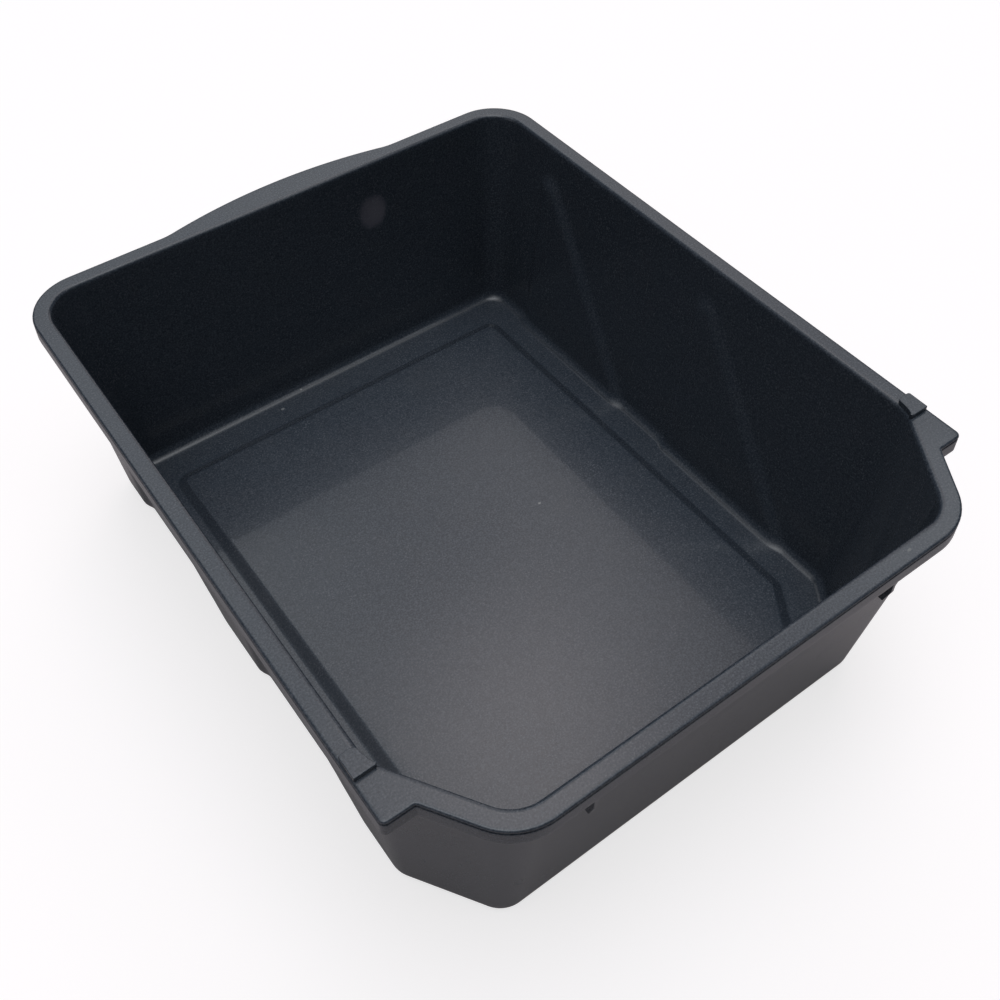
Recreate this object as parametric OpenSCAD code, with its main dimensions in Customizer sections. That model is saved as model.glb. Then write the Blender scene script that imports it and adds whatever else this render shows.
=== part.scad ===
// Open-topped moulded tub with a skirted rim, chamfered front corners, ears beside
// them and a bowed finger grip at the back. It stands on the margin of its floor.
// The front faces -Y, the grip faces +Y and the opening faces +Z.

/* [Tub] */
// Length of the opening at the rim, front wall to back wall
inside_length = 369.5; // [340:0.5:430]
// Width of the opening at the rim, side wall to side wall
inside_width = 300; // [260:1:360]
// Depth from the rim top to the margin of the floor
inside_depth = 133; // [115:1:158]
// Thickness of walls, floor and rim
wall = 2.5; // [1.8:0.1:3]
// Inside radius of the upright corners at the rim
rim_corner_r = 20; // [15:0.5:26]
// Inside radius of the upright corners at the floor
floor_corner_r = 12.5; // [9:0.5:16]
// Inside fillet between the walls and the floor
floor_fillet_r = 5.2; // [3:0.1:7]

/* [Wall lean] */
// How far each side wall leans in from rim to floor
side_lean = 13.5; // [9:0.5:18]
// How far the back wall leans in from rim to floor
back_lean = 14.5; // [10:0.5:19]
// How far the front wall leans in from rim to floor
front_lean = 17.5; // [12:0.5:22]
// How far each chamfered wall leans in from rim to floor
chamfer_lean = 16; // [11:0.5:20]

/* [Front chamfers] */
// Part of the front that each chamfer cuts off
chamfer_across = 33; // [26:0.5:40]
// Part of the side that each chamfer cuts off
chamfer_along = 50; // [42:0.5:58]

/* [Rim] */
// Width of the flat rim outside the opening
flange_width = 9.3; // [8:0.1:12]
// Height of the skirt that hangs from the rim
skirt_depth = 10; // [8:0.5:12]
// Thickness of the skirt
skirt_wall = 2; // [1.6:0.1:2.6]
// Radius of the rim's inner edge
inner_edge_r = 2; // [1:0.1:2.4]
// Radius of the rim's outer edge
outer_edge_r = 1; // [0.5:0.1:1.5]

/* [Ears] */
// Front edge of each ear, behind the front of the rim
ear_setback = 34.5; // [28:0.5:41]
// Radius of the ear's outer corner
ear_tip_r = 3; // [2.9:0.1:6]
// Radius of the notch between ear and chamfer
ear_root_r = 1.5; // [0.5:0.1:4]

/* [Grip] */
// Width of the bowed grip where it leaves the back of the rim
grip_width = 144; // [110:1:180]
// How far the grip bows out past the rim
grip_bow = 8.6; // [5:0.1:12]
// Radius that blends the grip into the rim
grip_blend_r = 35; // [20:1:45]

/* [Tabs] */
// Front of each raised tab, behind the front of the rim
tab_setback = 54.6; // [49:0.2:59]
// Length of each tab along the side
tab_length = 11.4; // [8:0.2:16]
// Height of each tab above the rim
tab_height = 2.5; // [1.5:0.1:4]
// Corner radius of each tab
tab_corner_r = 1.5; // [0.5:0.1:2.5]

/* [Wall darts] */
// Width of each dart at the floor
dart_width = 107.5; // [95:0.5:115]
// Top of each dart below the rim top
dart_drop = 18; // [15:0.5:30]
// How far each dart stands into the tub
dart_depth = 2.6; // [1.5:0.1:3.2]
// Width of the slope round each dart
dart_slope = 9.4; // [7:0.1:12]
// Radius of the dart's tip at the top of its slope
dart_tip_r = 1.7; // [1.5:0.1:4]
// Foot of the rear dart's upright slope, in front of the back wall
dart_back_gap = 44; // [39:0.5:49]
// Distance from one dart to the next
dart_pitch = 136.5; // [125:0.5:142]

/* [Floor panel] */
// Height of the raised floor panel
panel_rise = 2.3; // [1:0.1:4]
// Floor margin beside the panel
panel_side_gap = 19; // [15:0.5:28]
// Floor margin at the panel's front, back and chamfers
panel_end_gap = 21.5; // [16:0.5:30]
// Width of the slope round the panel
panel_slope = 5.7; // [3:0.1:8]
// Corner radius at the foot of the panel's slope
panel_corner_r = 9; // [8.5:0.5:14]

/* [Gussets] */
// Distance between the two gussets under the front rim
gusset_spacing = 168; // [100:1:188]
// Thickness of each gusset
gusset_wall = 2; // [1.2:0.1:3]
// Outer edge of each gusset, behind the front of the rim
gusset_setback = 3.3; // [3:0.1:5]
// Foot of each gusset below the rim top
gusset_drop = 34; // [24:1:46]
// Height of the cut on the gusset's foot
gusset_cut_height = 8.5; // [4:0.5:11]
// Depth of the cut on the gusset's foot
gusset_cut_depth = 2.4; // [1:0.1:3]

/* [Hidden] */

tub_color = "#3d454d";
corner_step = 12;      // most that a rounded corner turns at each vertex, in degrees
fillet_steps = 5;      // straight pieces in each floor fillet
edge_steps = 3;        // straight pieces in each rounded rim edge
tip_steps = 10;        // straight pieces round the tip of each dart
bow_steps = 18;        // straight pieces along the grip
blend_steps = 4;       // straight pieces where the grip blends into the rim
past = 2;              // how far a cutting solid runs past what it cuts
sunk = 1;              // how far a joined solid runs into what carries it
rounding = 0.01;       // share of a step that a turn may pass without one more step
tab_outer_share = 0.7;   // part of the rim's rounded outer edge that the tabs leave free
tab_inner_share = 0.35;  // part of its rounded inner edge that they leave free

overall_length = inside_length + 2 * flange_width + grip_bow;
front_y = -overall_length / 2;                  // outer face of the front of the rim
opening_front_y = front_y + flange_width;
opening_back_y = opening_front_y + inside_length;
opening_side_x = inside_width / 2;
back_y = opening_back_y + flange_width;         // outer face of the back of the rim
floor_z = wall;                                 // margin of the floor, inside
rim_z = floor_z + inside_depth;

// The right chamfer runs along [cos, sin] of this angle, and a point lies on it when
// sin * x - cos * y equals its distance from the origin.
chamfer_angle = atan(chamfer_along / chamfer_across);
chamfer_sin = sin(chamfer_angle);
chamfer_cos = cos(chamfer_angle);
opening_chamfer_d = chamfer_sin * (opening_side_x - chamfer_across) - chamfer_cos * opening_front_y;

// ---- Outlines, all counter-clockwise ----

function unit(v) = v / norm(v);
function at_height(ring, z) = [for (p = ring) [p.x, p.y, z]];
function without_ends(points) = [for (i = [1 : len(points) - 2]) points[i]];
function mirrored(points) = [for (i = [len(points) - 1 : -1 : 0]) [-points[i].x, points[i].y]];
function arc(center, r, from, to, steps) =
    [for (i = [0 : steps]) let (a = from + (to - from) * i / steps) center + r * [cos(a), sin(a)]];

// Arc of radius r that rounds the corner at q, between its neighbours p and s
function corner_arc(p, q, s, r) =
    let (u = unit(p - q), v = unit(s - q))
    let (half = acos(u * v) / 2)
    let (center = q + unit(u + v) * r / sin(half))
    let (start = q + u * r / tan(half) - center)
    let (turn = sign(cross(q - p, s - q)) * (180 - 2 * half))
    let (from = atan2(start.y, start.x), steps = ceil(abs(turn) / corner_step - rounding))
    arc(center, r, from, from + turn, steps);

// Outline through the corner points, each rounded by its own radius
function rounded(points, radii) =
    let (n = len(points))
    [for (i = [0 : n - 1]) each
        corner_arc(points[(i + n - 1) % n], points[i], points[(i + 1) % n], radii[i])];

// Six-cornered plan of the tub, from its side, back, front and chamfer distances
function six_corners(side, back, front, chamfer, r) =
    let (right = [
        [(chamfer + chamfer_cos * front) / chamfer_sin, front],
        [side, (chamfer_sin * side - chamfer) / chamfer_cos],
        [side, back]])
    rounded(concat(right, mirrored(right)), [for (i = [0 : 5]) r]);

// Plan of the inside at height z, grown outwards by grow
function wall_ring(z, grow) =
    let (k = (rim_z - z) / inside_depth)
    six_corners(
        opening_side_x - k * side_lean + grow,
        opening_back_y - k * back_lean + grow,
        opening_front_y + k * front_lean - grow,
        opening_chamfer_d - k * chamfer_lean + grow,
        rim_corner_r + k * (floor_corner_r - rim_corner_r) + grow);

// Rings from a floor at base_z up through its fillet, for a wall grown by grow
function fillet_rings(base_z, r, grow) =
    [for (i = [0 : fillet_steps]) let (a = 90 * i / fillet_steps, z = base_z + r * (1 - cos(a)))
        at_height(wall_ring(z, grow - r * (1 - sin(a))), z)];

// Plan of the floor panel, grown outwards from the foot of its slope
function panel_ring(grow) =
    six_corners(
        opening_side_x - side_lean - panel_side_gap + grow,
        opening_back_y - back_lean - panel_end_gap + grow,
        opening_front_y + front_lean + panel_end_gap - grow,
        opening_chamfer_d - chamfer_lean - panel_end_gap + grow,
        panel_corner_r + grow);

// Bowed grip across the back of the rim, from right to left
function grip_points(inset) =
    let (bow_r = (pow(grip_width / 2, 2) + pow(grip_bow, 2)) / (2 * grip_bow))
    let (bow_center = [0, back_y + grip_bow - bow_r])
    let (blend_y = back_y + grip_blend_r)
    let (blend_x = sqrt(pow(bow_r + grip_blend_r, 2) - pow(blend_y - bow_center.y, 2)))
    let (meet = atan2(blend_y - bow_center.y, blend_x))
    concat(
        arc([blend_x, blend_y], grip_blend_r + inset, 270, 180 + meet, blend_steps),
        without_ends(arc(bow_center, bow_r - inset, meet, 180 - meet, bow_steps)),
        arc([-blend_x, blend_y], grip_blend_r + inset, 360 - meet, 270, blend_steps));

// Outer plan of the rim with its ears and grip, drawn in by inset
function rim_ring(inset) =
    let (side = opening_side_x + flange_width - inset, front = front_y + inset)
    let (ear = front_y + ear_setback + inset, chamfer = opening_chamfer_d + flange_width - inset)
    let (corner_r = rim_corner_r + flange_width - inset)
    let (front_corner = [(chamfer + chamfer_cos * front) / chamfer_sin, front])
    let (root = [(chamfer + chamfer_cos * ear) / chamfer_sin, ear])
    let (tip = [side, ear], back_corner = [side, back_y - inset])
    let (right = concat(
        corner_arc([0, front], front_corner, root, corner_r),
        corner_arc(front_corner, root, tip, ear_root_r + inset),
        corner_arc(root, tip, back_corner, ear_tip_r - inset),
        corner_arc(tip, back_corner, [0, back_y - inset], corner_r)))
    concat(right, grip_points(inset), mirrored(right));

// ---- Solids ----

// Closed solid through stacked rings that all have as many points
module loft(rings) {
    n = len(rings[0]);
    top = (len(rings) - 1) * n;
    sides = [for (k = [0 : len(rings) - 2], i = [0 : n - 1])
        let (a = k * n + i, b = k * n + (i + 1) % n)
        each [[a, a + n, b + n], [a, b + n, b]]];
    floor_face = [for (i = [0 : n - 1]) i];
    top_face = [for (i = [n - 1 : -1 : 0]) top + i];
    polyhedron(points = [for (ring = rings) each ring], faces = concat(sides, [floor_face, top_face]));
}

// Right-hand dart as a block on the inside of the side wall, moved outwards by shift.
// Its outline is an upright edge, a round tip and a slanted edge down to the floor.
module dart(upright_y, shift) {
    base_r = dart_tip_r + dart_slope;
    tip_z = rim_z - dart_drop - base_r;
    tip_y = upright_y - base_r;
    foot_z = -past;
    drop = tip_z - floor_z;
    reach = dart_width - base_r;
    // angle of the slanted edge's outward normal, for an edge that touches the round tip
    slant = 180 - atan2(reach, drop) + asin(base_r / norm([reach, drop]));
    function slanted_y(r) = tip_y + (r - (foot_z - tip_z) * sin(slant)) / cos(slant);
    function ring(out) =
        let (r = dart_tip_r + dart_slope * (1 + out / dart_depth))
        let (outline = concat(
            [[tip_y + r, foot_z]],
            arc([tip_y, tip_z], r, 0, slant, tip_steps),
            [[slanted_y(r), foot_z]]))
        [for (p = outline)
            [opening_side_x - side_lean * (rim_z - p.y) / inside_depth + out + shift, p.x, p.y]];
    hull() loft([ring(-dart_depth), ring(dart_depth / 2)]);
}

// All four darts: two on each side wall
module darts(shift) {
    for (side = [0, 1], i = [0, 1])
        mirror([side, 0, 0]) dart(opening_back_y - dart_back_gap - i * dart_pitch, shift);
}

// Raised floor panel, with its foot at height foot_z
module floor_panel(foot_z) {
    slope = panel_slope / panel_rise;
    hull() loft([
        at_height(panel_ring(past * slope), foot_z - past),
        at_height(panel_ring(-panel_slope), foot_z + panel_rise)]);
}

// Outside of the walls and floor, with the hollow backs of the darts and the panel
module body() {
    outer_r = floor_fillet_r + wall;
    top_z = rim_z - wall / 2;
    difference() {
        loft(concat(fillet_rings(0, outer_r, wall), [at_height(wall_ring(top_z, wall), top_z)]));
        darts(wall);
        floor_panel(0);
    }
}

// Inside of the tub, open at the top, round the darts and the raised panel
module cavity() {
    edge_rings = [for (i = [0 : edge_steps])
        let (a = 90 * i / edge_steps, z = rim_z - inner_edge_r * (1 - sin(a)))
        at_height(wall_ring(z, inner_edge_r * (1 - cos(a))), z)];
    mouth = at_height(wall_ring(rim_z, inner_edge_r), rim_z + past);
    difference() {
        loft(concat(fillet_rings(floor_z, floor_fillet_r, 0), edge_rings, [mouth]));
        darts(0);
        floor_panel(floor_z);
    }
}

// Flat rim with its rounded outer edge, ears, grip and hanging skirt
module flange() {
    edge_rings = [for (i = [0 : edge_steps]) let (a = 90 * i / edge_steps)
        at_height(rim_ring(outer_edge_r * (1 - cos(a))), rim_z - outer_edge_r * (1 - sin(a)))];
    difference() {
        loft(concat([at_height(rim_ring(0), rim_z - skirt_depth)], edge_rings));
        loft([
            at_height(rim_ring(skirt_wall), rim_z - skirt_depth - past),
            at_height(rim_ring(skirt_wall), rim_z - wall)]);
    }
}

// Low block across the right-hand rim, from its outer face to the rounded inner edge
module tab() {
    front = front_y + tab_setback;
    back = front + tab_length;
    inner_x = opening_side_x - flange_width;
    outer_x = opening_side_x + flange_width - tab_outer_share * outer_edge_r;
    corners = [[inner_x, front], [outer_x, front], [outer_x, back], [inner_x, back]];
    translate([0, 0, rim_z - wall / 2])
        linear_extrude(tab_height + wall / 2)
            difference() {
                polygon(rounded(corners, [for (c = corners) tab_corner_r]));
                polygon(wall_ring(rim_z, tab_inner_share * inner_edge_r));
            }
}

// Upright plate in front of the front wall, hanging behind the skirt
module gusset() {
    outer_y = front_y + gusset_setback;
    top_z = rim_z - wall + sunk;
    foot_z = rim_z - gusset_drop;
    wall_y = opening_front_y - wall + sunk;
    outline = [
        [outer_y, top_z],
        [outer_y, foot_z + gusset_cut_height],
        [outer_y + gusset_cut_depth, foot_z],
        [wall_y + front_lean * gusset_drop / inside_depth, foot_z],
        [wall_y, top_z]];
    rotate([90, 0, 90]) linear_extrude(gusset_wall, center = true) polygon(outline);
}

module tub() {
    color(tub_color) {
        difference() {
            union() {
                flange();
                body();
                for (side = [-1, 1]) translate([side * gusset_spacing / 2, 0, 0]) gusset();
            }
            cavity();
        }
        for (side = [0, 1]) mirror([side, 0, 0]) tab();
    }
}

tub();
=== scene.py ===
import math
import bpy
import numpy as np
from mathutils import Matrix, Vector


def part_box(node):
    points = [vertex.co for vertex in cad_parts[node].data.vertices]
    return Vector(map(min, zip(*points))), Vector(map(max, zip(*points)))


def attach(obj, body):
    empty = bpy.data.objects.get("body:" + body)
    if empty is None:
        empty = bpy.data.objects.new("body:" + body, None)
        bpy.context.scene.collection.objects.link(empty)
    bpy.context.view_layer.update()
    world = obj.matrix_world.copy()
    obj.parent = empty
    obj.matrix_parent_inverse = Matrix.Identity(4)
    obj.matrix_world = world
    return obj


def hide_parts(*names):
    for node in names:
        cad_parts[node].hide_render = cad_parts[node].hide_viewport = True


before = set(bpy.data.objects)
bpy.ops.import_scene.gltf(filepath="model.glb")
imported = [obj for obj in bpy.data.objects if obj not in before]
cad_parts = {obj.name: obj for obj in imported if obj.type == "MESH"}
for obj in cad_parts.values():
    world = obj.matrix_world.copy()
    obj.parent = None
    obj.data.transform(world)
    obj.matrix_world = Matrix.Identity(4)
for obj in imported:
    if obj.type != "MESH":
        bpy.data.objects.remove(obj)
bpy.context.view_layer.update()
lo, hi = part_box("tub")

# ---------------------------------------------------------------------------
# Sizes in millimetres, the same as the tub's own source
# ---------------------------------------------------------------------------
INSIDE_LENGTH, INSIDE_WIDTH, INSIDE_DEPTH = 369.5, 300.0, 133.0
WALL = 2.5
RIM_CORNER_R, FLOOR_CORNER_R, FLOOR_FILLET_R = 20.0, 12.5, 5.2
SIDE_LEAN, BACK_LEAN, FRONT_LEAN, CHAMFER_LEAN = 13.5, 14.5, 17.5, 16.0
CHAMFER_ACROSS, CHAMFER_ALONG = 33.0, 50.0
FLANGE, SKIRT_DEPTH, SKIRT_WALL = 9.3, 10.0, 2.0
INNER_EDGE_R, OUTER_EDGE_R = 2.0, 1.0
EAR_SETBACK, EAR_TIP_R, EAR_ROOT_R = 34.5, 3.0, 1.5
GRIP_WIDTH, GRIP_BOW, GRIP_BLEND_R = 144.0, 8.6, 35.0
TAB_SETBACK, TAB_LENGTH, TAB_HEIGHT = 54.6, 11.4, 2.5
DART_WIDTH, DART_DROP, DART_DEPTH, DART_SLOPE, DART_TIP_R = 107.5, 18.0, 2.6, 9.4, 1.7
DART_BACK_GAP, DART_PITCH = 44.0, 136.5
PANEL_RISE, PANEL_SIDE_GAP, PANEL_END_GAP = 2.3, 19.0, 21.5
PANEL_SLOPE, PANEL_CORNER_R = 5.7, 9.0
GUSSET_SPACING, GUSSET_WALL, GUSSET_SETBACK = 168.0, 2.0, 3.3
GUSSET_DROP, GUSSET_CUT_HEIGHT, GUSSET_CUT_DEPTH = 34.0, 8.5, 2.4

FRONT_Y = lo[1] * 1000                  # outer face of the front of the rim
RIM_Z = hi[2] * 1000 - TAB_HEIGHT
FLOOR_Z = RIM_Z - INSIDE_DEPTH
OPEN_F = FRONT_Y + FLANGE
OPEN_B = OPEN_F + INSIDE_LENGTH
OPEN_S = INSIDE_WIDTH / 2
BACK_Y = OPEN_B + FLANGE
ANGLE = math.atan2(CHAMFER_ALONG, CHAMFER_ACROSS)
SN, CS = math.sin(ANGLE), math.cos(ANGLE)
OPEN_D = SN * (OPEN_S - CHAMFER_ACROSS) - CS * OPEN_F

# ---------------------------------------------------------------------------
# Small forms and mesh density of the visual model, in millimetres and counts
# ---------------------------------------------------------------------------
# points along each stretch of half a ring, front middle to back middle
N_FRONT, N_CORNER_1, N_CHAMFER, N_CORNER_2 = 26, 9, 14, 18
N_SIDE, N_CORNER_3, N_BACK = 132, 16, 36
# rings up the inside and outside of the walls, round a fillet and round an edge
N_INSIDE, N_OUTSIDE, N_FILLET, N_EDGE = 42, 38, 8, 6

# rings on the panel, as shares of the way in to the floor's middle line, and that line's
# ends, from the front and back of the mouth
FLOOR_STEPS = (0.97, 0.8, 0.6, 0.4, 0.22, 0.1, 0.04)
MIDDLE_FRONT_GAP, MIDDLE_BACK_GAP = 140, 120
SIDE_BAND = 0.6                         # a ring's side is what lies this near to its widest point
PANEL_MARGIN = 1.5                      # flat kept beside the panel's slope, seen from inside
UNDER_MARGIN = 0.5                      # the same below the floor
EASE = 0.17                             # rounding of the slope's edge and foot, as a share of it
SLOPE_STEPS = (-EASE, -EASE / 2, 0, EASE / 2, EASE, 0.35, 0.5, 0.65,
               1 - EASE, 1 - EASE / 2, 1, 1 + EASE / 2, 1 + EASE)

# skirt from the lip down, as (inset, drop below the rim); the inset of 0.8 is a shadow line
SKIRT_FACE = ((0.05, 1.05), (0.8, 1.15), (0.8, 2.1), (0.05, 2.4), (0, 2.7), (0, 4), (0, 7.5))
# the skirt's rounded foot, as (inset, height above the foot)
SKIRT_FOOT = ((0, 0.7), (0.05, 0.3), (0.25, 0.07), (0.6, 0),
              (SKIRT_WALL - 0.5, 0), (SKIRT_WALL - 0.1, 0.15), (SKIRT_WALL, 0.5))

# rounds of the tab's outline, outer corners and inner ones
TAB_OUT_FRONT_R, TAB_OUT_BACK_R, TAB_IN_FRONT_R, TAB_IN_BACK_R = 0.6, 1.2, 1.5, 2.2
TAB_IN_FRONT_GAP = 1.6                  # from the mouth to the centre of the inner front round
TAB_BACK_BOW = 0.35                     # how far the tab's back edge bows out
TAB_ROOT, GUSSET_ROOT, GUSSET_OVERLAP = 1.2, 0.8, 1     # how deep they reach into the rim and wall
TAB_BEVEL, GUSSET_BEVEL = 0.0010, 0.0003                # in metres


# ---------------------------------------------------------------------------
# Rings
# ---------------------------------------------------------------------------
def line(a, b, n):
    """n points from a towards b, without b."""
    t = np.arange(n)[:, None] / n
    return np.asarray(a) + (np.asarray(b) - np.asarray(a)) * t


def arc(c, r, a0, a1, n):
    """n points on an arc from angle a0 to a1, without the last."""
    a = np.radians(a0 + (a1 - a0) * np.arange(n) / n)
    return np.stack([c[0] + r * np.cos(a), c[1] + r * np.sin(a)], 1)


def corner(p, q, s, r):
    """Centre, start angle and end angle of the arc that rounds the corner at q."""
    p, q, s = (np.asarray(v, float) for v in (p, q, s))
    u, v = (p - q) / np.linalg.norm(p - q), (s - q) / np.linalg.norm(s - q)
    half = math.acos(float(u @ v)) / 2
    w = (u + v) / np.linalg.norm(u + v)
    c = q + w * r / math.sin(half)
    start = q + u * r / math.tan(half) - c
    d1, d2 = q - p, s - q
    turn = math.copysign(180 - 2 * math.degrees(half), d1[0] * d2[1] - d1[1] * d2[0])
    a0 = math.degrees(math.atan2(start[1], start[0]))
    return c, a0, a0 + turn


def end_of(c, r, a):
    return (c[0] + r * math.cos(math.radians(a)), c[1] + r * math.sin(math.radians(a)))


def full(half):
    """Whole ring from its right half; the middle points are written once."""
    left = half[1:-1][::-1] * [-1, 1]
    return np.vstack([half, left])


def six(side, back, front, chamfer, r):
    """Ring of six straight sides with rounded corners."""
    p1 = ((chamfer + CS * front) / SN, front)
    p2 = (side, (SN * side - chamfer) / CS)
    p3 = (side, back)
    k1, k2 = corner((0, front), p1, p2, r), corner(p1, p2, p3, r)
    k3 = corner(p2, p3, (0, back), r)
    a = [end_of(k[0], r, k[1]) for k in (k1, k2, k3)]
    b = [end_of(k[0], r, k[2]) for k in (k1, k2, k3)]
    return full(np.vstack([
        line((0, front), a[0], N_FRONT), arc(k1[0], r, k1[1], k1[2], N_CORNER_1),
        line(b[0], a[1], N_CHAMFER), arc(k2[0], r, k2[1], k2[2], N_CORNER_2),
        line(b[1], a[2], N_SIDE), arc(k3[0], r, k3[1], k3[2], N_CORNER_3),
        line(b[2], (0, back), N_BACK), [(0, back)]]))


def wall_ring(z, grow):
    """The walls' inner face at height z, grown outwards."""
    k = (RIM_Z - z) / INSIDE_DEPTH
    return six(OPEN_S - k * SIDE_LEAN + grow, OPEN_B - k * BACK_LEAN + grow,
               OPEN_F + k * FRONT_LEAN - grow, OPEN_D - k * CHAMFER_LEAN + grow,
               RIM_CORNER_R + k * (FLOOR_CORNER_R - RIM_CORNER_R) + grow)


def panel_ring(grow):
    """The foot of the floor panel's slope, grown outwards."""
    return six(OPEN_S - SIDE_LEAN - PANEL_SIDE_GAP + grow,
               OPEN_B - BACK_LEAN - PANEL_END_GAP + grow,
               OPEN_F + FRONT_LEAN + PANEL_END_GAP - grow,
               OPEN_D - CHAMFER_LEAN - PANEL_END_GAP + grow,
               PANEL_CORNER_R + grow)


def rim_ring(inset):
    """The rim's outer edge with its ears and grip, moved inwards."""
    side, front, back = OPEN_S + FLANGE - inset, FRONT_Y + inset, BACK_Y - inset
    ear, d = FRONT_Y + EAR_SETBACK + inset, OPEN_D + FLANGE - inset
    r = RIM_CORNER_R + FLANGE - inset
    p1 = ((d + CS * front) / SN, front)
    root = ((d + CS * ear) / SN, ear)
    tip, p3 = (side, ear), (side, back)
    rr, tr = EAR_ROOT_R + inset, max(EAR_TIP_R - inset, 0.3)
    k1, kr = corner((0, front), p1, root, r), corner(p1, root, tip, rr)
    kt, k3 = corner(root, tip, p3, tr), corner(tip, p3, (0, back), r)
    # grip, drawn from the right blend to the middle
    bow_r = ((GRIP_WIDTH / 2) ** 2 + GRIP_BOW ** 2) / (2 * GRIP_BOW)
    cy = BACK_Y + GRIP_BOW - bow_r
    by = BACK_Y + GRIP_BLEND_R
    bx = math.sqrt((bow_r + GRIP_BLEND_R) ** 2 - (by - cy) ** 2)
    meet = math.degrees(math.atan2(by - cy, bx))
    n_tip, n_root = 8, 5
    n_ear = N_CORNER_2 - n_tip - n_root
    n_blend, n_bow = 7, 20
    n_flat = N_BACK - n_blend - n_bow
    return full(np.vstack([
        line((0, front), end_of(k1[0], r, k1[1]), N_FRONT),
        arc(k1[0], r, k1[1], k1[2], N_CORNER_1),
        line(end_of(k1[0], r, k1[2]), end_of(kr[0], rr, kr[1]), N_CHAMFER),
        arc(kr[0], rr, kr[1], kr[2], n_root),
        line(end_of(kr[0], rr, kr[2]), end_of(kt[0], tr, kt[1]), n_ear),
        arc(kt[0], tr, kt[1], kt[2], n_tip),
        line(end_of(kt[0], tr, kt[2]), end_of(k3[0], r, k3[1]), N_SIDE),
        arc(k3[0], r, k3[1], k3[2], N_CORNER_3),
        line(end_of(k3[0], r, k3[2]), (bx, back), n_flat),
        arc((bx, by), GRIP_BLEND_R + inset, 270, 180 + meet, n_blend),
        arc((0, cy), bow_r - inset, meet, 90, n_bow), [(0, BACK_Y + GRIP_BOW - inset)]]))


def step(t):
    """Smooth step from 0 to 1."""
    t = np.clip(t, 0, 1)
    return t * t * t * (t * (6 * t - 15) + 10)


def slope(t):
    """Straight slope from 0 to 1 with rounded ends."""
    if t < EASE:
        return max(t + EASE, 0.0) ** 2 / (4 * EASE)
    if t > 1 - EASE:
        return 1 - max(1 + EASE - t, 0.0) ** 2 / (4 * EASE)
    return t


def dart_depth(y, z):
    """How far the darts push the side walls in at (y, z)."""
    base_r = DART_TIP_R + DART_SLOPE
    total = np.zeros_like(y)
    for i in range(2):
        upright = OPEN_B - DART_BACK_GAP - i * DART_PITCH
        ty, tz = upright - base_r, RIM_Z - DART_DROP - base_r
        drop, reach = tz - FLOOR_Z, DART_WIDTH - base_r
        slant = math.pi - math.atan2(reach, drop) + math.asin(base_r / math.hypot(reach, drop))
        ny, nz = math.cos(slant), math.sin(slant)
        dy, dz = y - ty, z - tz
        d1, d2 = dy, ny * dy + nz * dz
        # distance to the wedge whose two edges meet at the tip's centre
        inside = np.maximum(d1, d2)
        along1, along2 = dz, -nz * dy + ny * dz
        at_tip = (along1 > 0) & (along2 < 0)
        d = np.where(at_tip, np.hypot(dy, dz), inside)
        total = np.maximum(total, step((base_r - d) / DART_SLOPE))
    return DART_DEPTH * total


def with_darts(ring, z, weight=1.0):
    """Moves the ring's side stretches in by the darts."""
    out = np.column_stack([ring, np.full(len(ring), float(z))])
    push = dart_depth(out[:, 1], np.maximum(out[:, 2], FLOOR_Z)) * weight
    flat_side = np.abs(out[:, 0]) > np.abs(out[:, 0]).max() - SIDE_BAND
    out[:, 0] -= np.sign(out[:, 0]) * np.where(flat_side, push, 0)
    return out


def level(ring, z):
    """The flat ring at height z."""
    return np.column_stack([ring, np.full(len(ring), float(z))])


def shrunk(ring, t):
    """The ring drawn towards its middle line, for the flat of the floor."""
    out = ring.copy()
    y_mid = np.clip(out[:, 1], OPEN_F + MIDDLE_FRONT_GAP, OPEN_B - MIDDLE_BACK_GAP)
    out[:, 0] *= 1 - t
    out[:, 1] += (y_mid - out[:, 1]) * t
    return out


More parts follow.
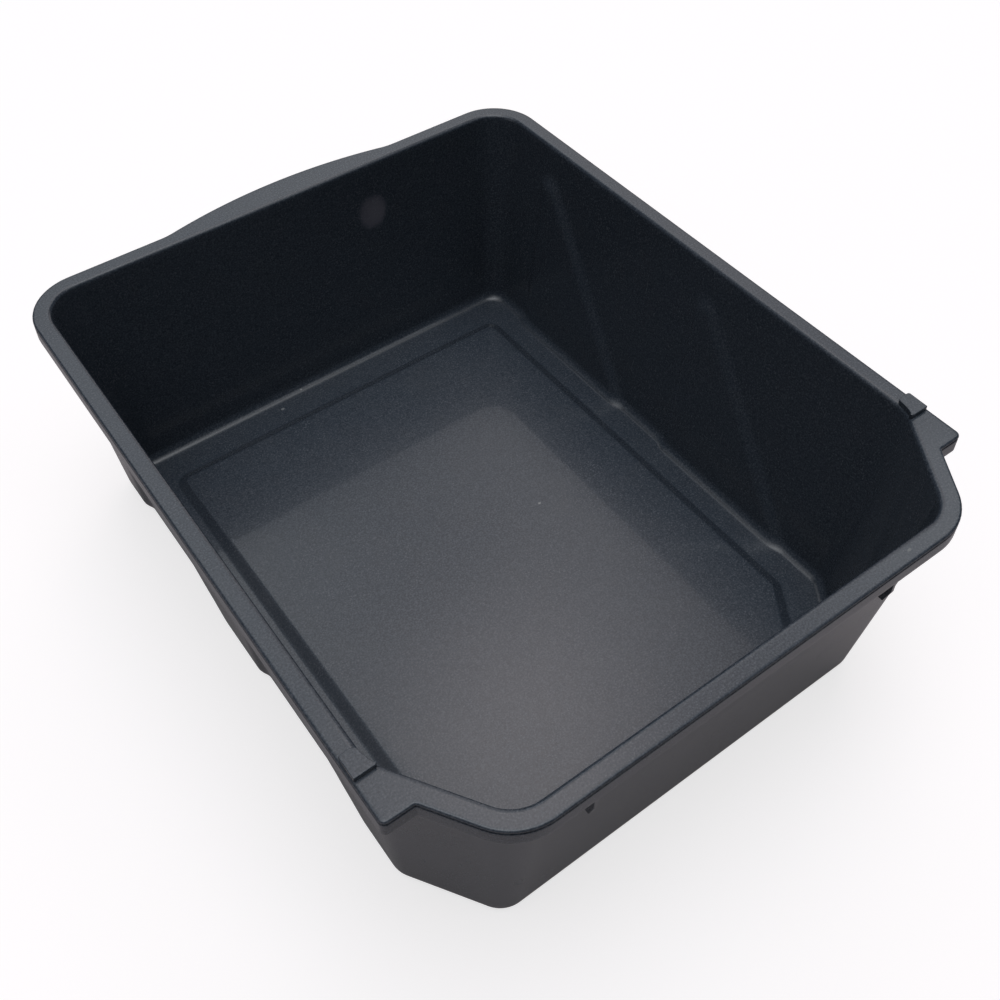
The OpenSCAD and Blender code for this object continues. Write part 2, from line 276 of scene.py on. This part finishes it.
def tub_rings():
    """All rings: from the middle of the floor out, over the rim and back underneath."""
    r = []
    top_z = FLOOR_Z + PANEL_RISE
    edge = panel_ring(-PANEL_SLOPE - PANEL_MARGIN)
    for t in FLOOR_STEPS:
        r.append(level(shrunk(edge, t), top_z))
    for t in SLOPE_STEPS:                                 # panel's edge, slope and foot
        r.append(level(panel_ring(PANEL_SLOPE * (t - 1)),
                       FLOOR_Z + PANEL_RISE * (1 - slope(t))))
    mid = panel_ring(PANEL_MARGIN)
    inner = with_darts(wall_ring(FLOOR_Z, -FLOOR_FILLET_R), FLOOR_Z)[:, :2]
    r.append(level(mid + (inner - mid) * 0.5, FLOOR_Z))
    for i in range(N_FILLET + 1):                         # floor fillet
        a = math.radians(90 * i / N_FILLET)
        z = FLOOR_Z + FLOOR_FILLET_R * (1 - math.cos(a))
        r.append(with_darts(wall_ring(z, -FLOOR_FILLET_R * (1 - math.sin(a))), z))
    z0, z1 = FLOOR_Z + FLOOR_FILLET_R, RIM_Z - INNER_EDGE_R
    for i in range(1, N_INSIDE + 1):                      # inside of the walls
        z = z0 + (z1 - z0) * i / N_INSIDE
        r.append(with_darts(wall_ring(z, 0), z))
    for i in range(1, N_EDGE + 1):                        # rounded inner edge of the rim
        a = math.radians(90 * i / N_EDGE)
        z = RIM_Z - INNER_EDGE_R * (1 - math.sin(a))
        r.append(level(wall_ring(z, INNER_EDGE_R * (1 - math.cos(a))), z))
    mouth, lip = wall_ring(RIM_Z, INNER_EDGE_R), rim_ring(OUTER_EDGE_R)
    for t in (0.1, 0.35, 0.65, 0.9):                      # flat of the rim
        r.append(level(mouth + (lip - mouth) * t, RIM_Z))
    for i in range(N_EDGE + 1):                           # rounded outer edge
        a = math.radians(90 * (1 - i / N_EDGE))
        r.append(level(rim_ring(OUTER_EDGE_R * (1 - math.cos(a))),
                       RIM_Z - OUTER_EDGE_R * (1 - math.sin(a))))
    for inset, drop in SKIRT_FACE:
        r.append(level(rim_ring(inset), RIM_Z - drop))
    for inset, height in SKIRT_FOOT:
        r.append(level(rim_ring(inset), RIM_Z - SKIRT_DEPTH + height))
    r.append(level(rim_ring(SKIRT_WALL), RIM_Z - WALL - 0.4))
    under, outer = rim_ring(SKIRT_WALL), wall_ring(RIM_Z - WALL, WALL)
    for t in (0.03, 0.5, 0.97):                           # underside of the rim
        r.append(level(under + (outer - under) * t, RIM_Z - WALL))
    rr = FLOOR_FILLET_R + WALL
    z0, z1 = rr, RIM_Z - WALL - 0.3
    for i in range(N_OUTSIDE + 1):                        # outside of the walls
        z = z1 + (z0 - z1) * i / N_OUTSIDE
        r.append(with_darts(wall_ring(z, WALL), z))
    for i in range(1, N_FILLET + 1):                      # outer fillet
        a = math.radians(90 * (1 - i / N_FILLET))
        z = rr * (1 - math.cos(a))
        r.append(with_darts(wall_ring(z, WALL - rr * (1 - math.sin(a))), z))
    outer = r[-1][:, :2]
    mid = panel_ring(UNDER_MARGIN)
    r.append(level(mid + (outer - mid) * 0.4, 0))
    for i in range(7):                                    # hollow below the panel
        t = i / 6
        r.append(level(panel_ring(UNDER_MARGIN - (PANEL_SLOPE + 2 * UNDER_MARGIN) * t),
                       PANEL_RISE * float(step(t))))
    edge = panel_ring(-PANEL_SLOPE - UNDER_MARGIN)
    for t in (0.1, 0.5, 0.97):
        r.append(level(shrunk(edge, t), PANEL_RISE))
    return r


def mesh_object(name, verts, faces, smooth=True):
    me = bpy.data.meshes.new(name)
    me.from_pydata([tuple(v) for v in verts], [], [tuple(int(i) for i in f) for f in faces])
    me.validate()
    me.update()
    ob = bpy.data.objects.new(name, me)
    bpy.context.scene.collection.objects.link(ob)
    if smooth:
        me.polygons.foreach_set("use_smooth", [True] * len(me.polygons))
    return ob


def build_tub():
    """The moulding: quads between neighbouring rings, closed at both ends."""
    rings = tub_rings()
    n = len(rings[0])
    verts = np.vstack(rings) * 0.001
    i = np.arange(n)
    j = (i + 1) % n
    faces = []
    for k in range(len(rings) - 1):
        a, b = k * n, (k + 1) * n
        faces += np.stack([a + i, b + i, b + j, a + j], 1).tolist()
    top = (len(rings) - 1) * n
    faces.append(list(range(n)))
    faces.append([top + m for m in range(n - 1, -1, -1)])
    return mesh_object("tub_moulding", verts, faces)


def bevelled(ob, width, segments):
    """Rounds the object's sharp edges; the width is in metres."""
    m = ob.modifiers.new("edges", "BEVEL")
    m.width, m.segments, m.limit_method, m.angle_limit = width, segments, "ANGLE", math.radians(35)
    m.harden_normals = True
    bpy.context.view_layer.objects.active = ob
    for o in bpy.context.selected_objects:
        o.select_set(False)
    ob.select_set(True)
    bpy.ops.object.modifier_apply(modifier=m.name)
    return ob


def prism(name, base, top):
    """Straight solid between two outlines of as many points, both in millimetres."""
    n = len(base)
    faces = [list(range(n))[::-1], [n + i for i in range(n)]]
    faces += [[i, (i + 1) % n, n + (i + 1) % n, n + i] for i in range(n)]
    return mesh_object(name, np.array(base + top) * 0.001, faces)


def side_name(side):
    return "right" if side > 0 else "left"


def build_tab(side):
    """Low block on the rim; its inner side follows the mouth."""
    f, b = FRONT_Y + TAB_SETBACK, FRONT_Y + TAB_SETBACK + TAB_LENGTH
    x1 = OPEN_S + FLANGE - 0.7 * OUTER_EDGE_R
    mouth = wall_ring(RIM_Z, 0.35 * INNER_EDGE_R)
    near = [(x, y) for x, y in mouth if x > 0 and f + TAB_IN_FRONT_GAP < y < b - TAB_IN_BACK_R]
    near = sorted(near, key=lambda p: p[1])[::2]

    def mouth_x(y):
        """The mouth's place across the tub at y, from its nearest point."""
        return min((abs(q[1] - y), q[0]) for q in mouth if q[0] > 0)[1]

    def rounding(x, y, r, a0, n):
        return [tuple(p) for p in arc((x, y), r, a0, a0 + 90, n)]

    pts = rounding(x1 - TAB_OUT_FRONT_R, f + TAB_OUT_FRONT_R, TAB_OUT_FRONT_R, -90, 4)
    pts += rounding(x1 - TAB_OUT_BACK_R, b - TAB_OUT_BACK_R, TAB_OUT_BACK_R, 0, 5)
    pts += [((x1 + mouth_x(b)) / 2, b + TAB_BACK_BOW)]
    pts += rounding(mouth_x(b) + TAB_IN_BACK_R, b - TAB_IN_BACK_R, TAB_IN_BACK_R, 90, 6)
    pts += near[::-1]
    pts += rounding(mouth_x(f) + TAB_IN_FRONT_GAP, f + TAB_IN_FRONT_R, TAB_IN_FRONT_R, 180, 5)
    pts = [(side * x, y) for x, y in pts]
    if side < 0:
        pts = pts[::-1]
    tab = prism("tub_tab_" + side_name(side), [(x, y, RIM_Z - TAB_ROOT) for x, y in pts],
                [(x, y, RIM_Z + TAB_HEIGHT) for x, y in pts])
    return bevelled(tab, TAB_BEVEL, 4)


def build_gusset(side):
    """Upright rib below the front of the rim, with its lower outer corner cut off."""
    y0 = FRONT_Y + GUSSET_SETBACK
    z0, z1 = RIM_Z - GUSSET_DROP, RIM_Z - WALL + GUSSET_ROOT
    yw = OPEN_F - WALL + GUSSET_OVERLAP
    prof = [(y0, z1), (y0, z0 + GUSSET_CUT_HEIGHT), (y0 + GUSSET_CUT_DEPTH, z0),
            (yw + FRONT_LEAN * GUSSET_DROP / INSIDE_DEPTH, z0), (yw, z1)]
    x = side * GUSSET_SPACING / 2
    gusset = prism("tub_gusset_" + side_name(side), [(x - GUSSET_WALL / 2, y, z) for y, z in prof],
                   [(x + GUSSET_WALL / 2, y, z) for y, z in prof])
    return bevelled(gusset, GUSSET_BEVEL, 2)


# ---------------------------------------------------------------------------
# Material
# ---------------------------------------------------------------------------
SLATE = (0.0460, 0.0575, 0.0745, 1)
SLATE_DEEP = (0.0425, 0.0540, 0.0710, 1)
SLATE_WARM = (0.0530, 0.0600, 0.0730, 1)
GRAIN_DARK, GRAIN_LIGHT = (0.021, 0.028, 0.040, 1), (0.092, 0.103, 0.124, 1)
BLUSH, BLUSH_CORE = (0.170, 0.165, 0.200, 1), (0.215, 0.200, 0.230, 1)
FILM = (0.105, 0.108, 0.112, 1)
SPECK, NICK = (0.30, 0.31, 0.31, 1), (0.20, 0.21, 0.21, 1)
# painted shade for the floor panel's slope and foot
PAINTED_SLOPE_SHADE = (0.016, 0.020, 0.027, 1)

# pale specks on the floor, in metres: across, from the front, above the floor, radius
SPECKS = ((-0.0364, 0.3548, 0.0, 0.0008), (0.045, 0.1993, 0.0023, 0.0006),
          (-0.0191, 0.3620, 0.001, 0.0005))


class Nodes:
    """Short way to add and link shader nodes."""

    def __init__(self, tree):
        self.t = tree

    def add(self, kind, **kw):
        n = self.t.nodes.new(kind)
        for k, v in kw.items():
            setattr(n, k, v)
        return n

    def put(self, socket, value):
        """Links an output to the socket, or sets its value."""
        if isinstance(value, bpy.types.NodeSocket):
            self.t.links.new(value, socket)
        else:
            socket.default_value = value

    def math(self, op, a, b=0.0, c=0.0):
        n = self.add("ShaderNodeMath", operation=op)
        for i, v in enumerate((a, b, c)):
            self.put(n.inputs[i], v)
        return n.outputs[0]

    def noise(self, vec, scale, detail=2.0, rough=0.5, distortion=0.0):
        n = self.add("ShaderNodeTexNoise")
        self.put(n.inputs["Vector"], vec)
        self.put(n.inputs["Scale"], scale)
        self.put(n.inputs["Detail"], detail)
        self.put(n.inputs["Roughness"], rough)
        self.put(n.inputs["Distortion"], distortion)
        return n.outputs["Fac"]

    def ramp(self, value, a, b, to0=0.0, to1=1.0, smooth=True):
        """to0 where the value is a, to1 where it is b."""
        n = self.add("ShaderNodeMapRange", interpolation_type="SMOOTHSTEP" if smooth else "LINEAR")
        names = ("Value", "From Min", "From Max", "To Min", "To Max")
        for s, v in zip(names, (value, a, b, to0, to1)):
            self.put(n.inputs[s], v)
        return n.outputs["Result"]

    def bump(self, height, strength, distance, normal=None):
        n = self.add("ShaderNodeBump")
        n.inputs["Strength"].default_value = strength
        n.inputs["Distance"].default_value = distance
        self.put(n.inputs["Height"], height)
        if normal:
            self.put(n.inputs["Normal"], normal)
        return n.outputs[0]

    def mix(self, f, a, b):
        n = self.add("ShaderNodeMix", data_type="RGBA")
        self.put(n.inputs["Factor"], f)
        self.put(n.inputs["A"], a)
        self.put(n.inputs["B"], b)
        return n.outputs["Result"]


def plastic():
    """Dark slate moulded plastic, satin, with grain, blush, specks, handling marks and painted
    shade on the floor panel's slope.
    """
    mat = bpy.data.materials.new("tub_plastic_slate")
    mat.use_nodes = True
    t = mat.node_tree
    t.nodes.clear()
    k = Nodes(t)
    out = k.add("ShaderNodeOutputMaterial")
    bsdf = k.add("ShaderNodeBsdfPrincipled")
    t.links.new(bsdf.outputs[0], out.inputs["Surface"])
    pos = k.add("ShaderNodeTexCoord").outputs["Object"]
    xyz = k.add("ShaderNodeSeparateXYZ")
    t.links.new(pos, xyz.inputs[0])
    x, y, z = xyz.outputs

    def blob(cx, cy, cz, rx, ry, rz, edge, wobble=0.0, wob_scale=120.0):
        """1 inside an ellipsoid and 0 outside it, with a soft edge; axes in metres."""
        dx = k.math("DIVIDE", k.math("SUBTRACT", x, cx), rx)
        dy = k.math("DIVIDE", k.math("SUBTRACT", y, cy), ry)
        dz = k.math("DIVIDE", k.math("SUBTRACT", z, cz), rz)
        s = k.math("ADD", k.math("MULTIPLY", dx, dx), k.math("MULTIPLY", dy, dy))
        s = k.math("SQRT", k.math("ADD", s, k.math("MULTIPLY", dz, dz)))
        if wobble:
            w = k.math("SUBTRACT", k.noise(pos, wob_scale, 2.0), 0.5)
            s = k.math("ADD", s, k.math("MULTIPLY", w, wobble))
        return k.ramp(s, 1.0 - edge, 1.0 + edge, 1.0, 0.0)

    # colour: even slate with a slow drift, cloudy patches and a fine moulded grain
    drift = k.noise(pos, 9.0, 3.0, 0.55)
    cloud = k.noise(pos, 60.0, 3.0, 0.6)
    grain = k.noise(pos, 1100.0, 2.0, 0.7)
    base = k.mix(k.ramp(drift, 0.3, 0.7), SLATE_DEEP, SLATE)
    base = k.mix(k.ramp(cloud, 0.45, 0.75, 0.0, 0.35), base, SLATE_WARM)
    base = k.mix(k.ramp(grain, 0.34, 0.50, 0.75, 0.0), base, GRAIN_DARK)
    base = k.mix(k.ramp(grain, 0.50, 0.66, 0.0, 0.75), base, GRAIN_LIGHT)
    facing = k.add("ShaderNodeSeparateXYZ")
    t.links.new(k.add("ShaderNodeNewGeometry").outputs["Normal"], facing.inputs[0])
    ny, nz = facing.outputs[1:]
    # gate blush on the back wall's inner face
    inner_face = k.ramp(ny, -0.6, -0.3, 1.0, 0.0)
    front, rim, floor_z = FRONT_Y / 1000, RIM_Z / 1000, FLOOR_Z / 1000
    by = (OPEN_B - BACK_LEAN * 32 / INSIDE_DEPTH) / 1000  # the wall 32 mm below the rim
    blush = blob(0.0515, by, rim - 0.0325, 0.0090, 0.008, 0.0105, 0.28, 0.35, 160.0)
    core = blob(0.0530, by, rim - 0.0335, 0.0055, 0.008, 0.0065, 0.6, 0.5, 220.0)
    base = k.mix(k.math("MULTIPLY", blush, k.math("MULTIPLY", inner_face, 0.65)), base, BLUSH)
    base = k.mix(k.math("MULTIPLY", core, k.math("MULTIPLY", inner_face, 0.30)), base, BLUSH_CORE)
    # smudges and specks on the floor
    facing_up = k.ramp(nz, 0.7, 0.95)
    smudge = k.ramp(k.noise(pos, 26.0, 4.0, 0.65, 0.6), 0.52, 0.78, 0.0, 0.10)
    base = k.mix(k.math("MULTIPLY", smudge, facing_up), base, FILM)
    for sx, sy, sz, r in SPECKS:
        speck = blob(sx, front + sy, floor_z + sz, r * 1.4, r, r * 2, 0.4, 0.8, 900.0)
        base = k.mix(k.math("MULTIPLY", speck, 0.8), base, SPECK)
    # small nick on the front of the rim
    nick = blob(0.088, front + 0.005, rim, 0.0011, 0.0006, 0.002, 0.4, 1.4, 900.0)
    base = k.mix(k.math("MULTIPLY", nick, 0.6), base, NICK)
    # painted shade: the base colour is darkened on the panel's slope and along its foot
    tilted = k.math("MULTIPLY", k.ramp(nz, 0.86, 0.91), k.ramp(nz, 0.95, 0.985, 1.0, 0.0))
    panel_z = FLOOR_Z + PANEL_RISE
    low = k.ramp(z, panel_z / 1000, (panel_z + 0.4) / 1000, 1.0, 0.0)
    base = k.mix(k.math("MULTIPLY", k.math("MULTIPLY", tilted, low), 0.38), base, PAINTED_SLOPE_SHADE)
    k.put(bsdf.inputs["Base Color"], base)

    # gloss: satin under a thin clear skin, broken up by handling marks
    smear = k.noise(pos, 22.0, 4.0, 0.6, 0.8)
    rough = k.ramp(smear, 0.25, 0.75, 0.22, 0.26, False)
    rough = k.math("ADD", rough, k.math("MULTIPLY", k.ramp(grain, 0.4, 0.8), 0.04))
    stretch = k.add("ShaderNodeMapping")
    stretch.inputs["Scale"].default_value = (18, 420, 60)
    stretch.inputs["Rotation"].default_value = (0.0, 0.0, math.radians(24))
    t.links.new(pos, stretch.inputs["Vector"])
    scratch = k.ramp(k.noise(stretch.outputs[0], 1.0, 2.0, 0.5), 0.70, 0.78)
    rough = k.math("ADD", rough, k.math("MULTIPLY", scratch, 0.06))
    k.put(bsdf.inputs["Roughness"], rough)
    bsdf.inputs["IOR"].default_value = 1.45
    bsdf.inputs["Specular IOR Level"].default_value = 0.44
    bsdf.inputs["Coat Weight"].default_value = 0.3
    bsdf.inputs["Coat Roughness"].default_value = 0.05
    bsdf.inputs["Coat IOR"].default_value = 1.5

    # relief: fine moulded grain on a slow sink; the clear skin has a slow wave of its own
    fine = k.bump(k.noise(pos, 1300.0, 3.0, 0.6), 0.20, 0.00006)
    sink = k.bump(k.noise(pos, 14.0, 1.0, 0.4), 0.15, 0.0008, fine)
    k.put(bsdf.inputs["Normal"], sink)
    k.put(bsdf.inputs["Coat Normal"], k.bump(k.noise(pos, 22.0, 2.0, 0.4), 0.15, 0.0006))
    return mat


# ---------------------------------------------------------------------------
# Object
# ---------------------------------------------------------------------------
material = plastic()
tub = build_tub()
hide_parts("tub")
pieces = [tub]
for side in (1, -1):
    pieces += [build_tab(side), build_gusset(side)]
for ob in pieces:
    ob.data.materials.clear()
    ob.data.materials.append(material)
    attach(ob, "root")

# ---------------------------------------------------------------------------
# Studio: pale floor, soft overhead light, camera
# ---------------------------------------------------------------------------
WHITE = (1, 1, 1, 1)
FLOOR_REACH, FLOOR_DROP = 6, 0.0003     # metres
FLOOR_COLOR = (0.46, 0.42, 0.43, 1)
FLOOR_SEEN, FLOOR_MIRRORED = 0.70, 0.05  # glow that the camera and that reflections see

floor = mesh_object("studio_floor",
                    [(i * FLOOR_REACH, j * FLOOR_REACH, -FLOOR_DROP)
                     for i, j in ((-1, -1), (1, -1), (1, 1), (-1, 1))],
                    [(0, 1, 2, 3)], False)
fm = bpy.data.materials.new("studio_floor")
fm.use_nodes = True
ft = fm.node_tree
ft.nodes.clear()
fn = Nodes(ft)
f_out = fn.add("ShaderNodeOutputMaterial")
f_dif = fn.add("ShaderNodeBsdfDiffuse")
f_dif.inputs["Color"].default_value = FLOOR_COLOR
f_emi = fn.add("ShaderNodeEmission")
f_emi.inputs["Color"].default_value = WHITE
f_lp = fn.add("ShaderNodeLightPath")
seen = f_lp.outputs["Is Camera Ray"]
mirrored = fn.math("MAXIMUM", f_lp.outputs["Is Glossy Ray"], f_lp.outputs["Is Transmission Ray"])
fn.put(f_emi.inputs["Strength"], fn.math("ADD", fn.math("MULTIPLY", seen, FLOOR_SEEN),
                                         fn.math("MULTIPLY", mirrored, FLOOR_MIRRORED)))
f_add = fn.add("ShaderNodeAddShader")
ft.links.new(f_dif.outputs[0], f_add.inputs[0])
ft.links.new(f_emi.outputs[0], f_add.inputs[1])
ft.links.new(f_add.outputs[0], f_out.inputs["Surface"])
floor.data.materials.append(fm)

world = bpy.data.worlds.new("studio")
bpy.context.scene.world = world
world.use_nodes = True
wt = world.node_tree
wt.nodes.clear()
wn = Nodes(wt)
w_out = wn.add("ShaderNodeOutputWorld")
w_white = wn.add("ShaderNodeBackground")
w_white.inputs["Color"].default_value = WHITE
w_white.inputs["Strength"].default_value = 1.0
direction = wn.add("ShaderNodeTexCoord").outputs["Generated"]

# soft round patches of light, as (elevation, azimuth from +X towards +Y, radius, level in the
# middle), with the angles in degrees
COOL_LIGHT, WARM_LIGHT = (0.97, 1.0, 1.035, 1), (1.11, 1.0, 0.98, 1)
COOL_SKY = ((90, 0, 32, 3.7), (60, 160, 30, 0.9), (60, 225, 30, 1.1),   # overhead and to the left
            (64, 350, 18, 0.4), (60, 72, 10, 1.0), (53, 74, 9, 0.6),    # high, right and behind
            (48, 22, 11, 2.3), (44, 45, 20, 0.8), (44, 80, 20, 1.4),    # window height, behind
            (33, 62, 16, 1.0), (56, 308, 17, 1.5))                      # low behind, high in front
WARM_SKY = ((64, 45, 18, 1.1), (61, 51, 9, 2.0), (44, 45, 20, 0.75),    # high, behind
            (12, 40, 24, 1.0), (12, 180, 26, 0.5))                      # low, behind and left


def sky_patches(patches):
    """Sum of the patches' light in the direction that is looked at."""
    total = 0.0
    for elevation, azimuth, radius, strength in patches:
        e, a = math.radians(elevation), math.radians(azimuth)
        toward = wn.add("ShaderNodeVectorMath", operation="DOT_PRODUCT")
        wt.links.new(direction, toward.inputs[0])
        toward.inputs[1].default_value = (math.cos(e) * math.cos(a), math.cos(e) * math.sin(a),
                                          math.sin(e))
        away = wn.math("ARCCOSINE", toward.outputs["Value"])
        total = wn.math("ADD", wn.ramp(away, 0.0, math.radians(radius), strength, 0.0), total)
    return total


w_both = wn.add("ShaderNodeAddShader")
for i, (light, patches) in enumerate(((COOL_LIGHT, COOL_SKY), (WARM_LIGHT, WARM_SKY))):
    sky = wn.add("ShaderNodeBackground")
    sky.inputs["Color"].default_value = light
    wn.put(sky.inputs["Strength"], sky_patches(patches))
    wt.links.new(sky.outputs[0], w_both.inputs[i])
w_lp = wn.add("ShaderNodeLightPath")
w_sel = wn.add("ShaderNodeMixShader")
wt.links.new(w_lp.outputs["Is Camera Ray"], w_sel.inputs[0])
wt.links.new(w_both.outputs[0], w_sel.inputs[1])
wt.links.new(w_white.outputs[0], w_sel.inputs[2])
wt.links.new(w_sel.outputs[0], w_out.inputs["Surface"])

cam_data = bpy.data.cameras.new("camera")
cam_data.sensor_width = 36.0
cam_data.lens = 44.364
cam_data.shift_x, cam_data.shift_y = 0.028, -0.115
cam_data.clip_start, cam_data.clip_end = 0.01, 50.0
cam = bpy.data.objects.new("camera", cam_data)
bpy.context.scene.collection.objects.link(cam)
cam.location = (-0.24333, -0.34479, 0.56018)
cam.rotation_euler = (math.radians(44.458), math.radians(0.700), math.radians(-35.738))
bpy.context.scene.camera = cam
bpy.context.scene.view_settings.view_transform = "Standard"
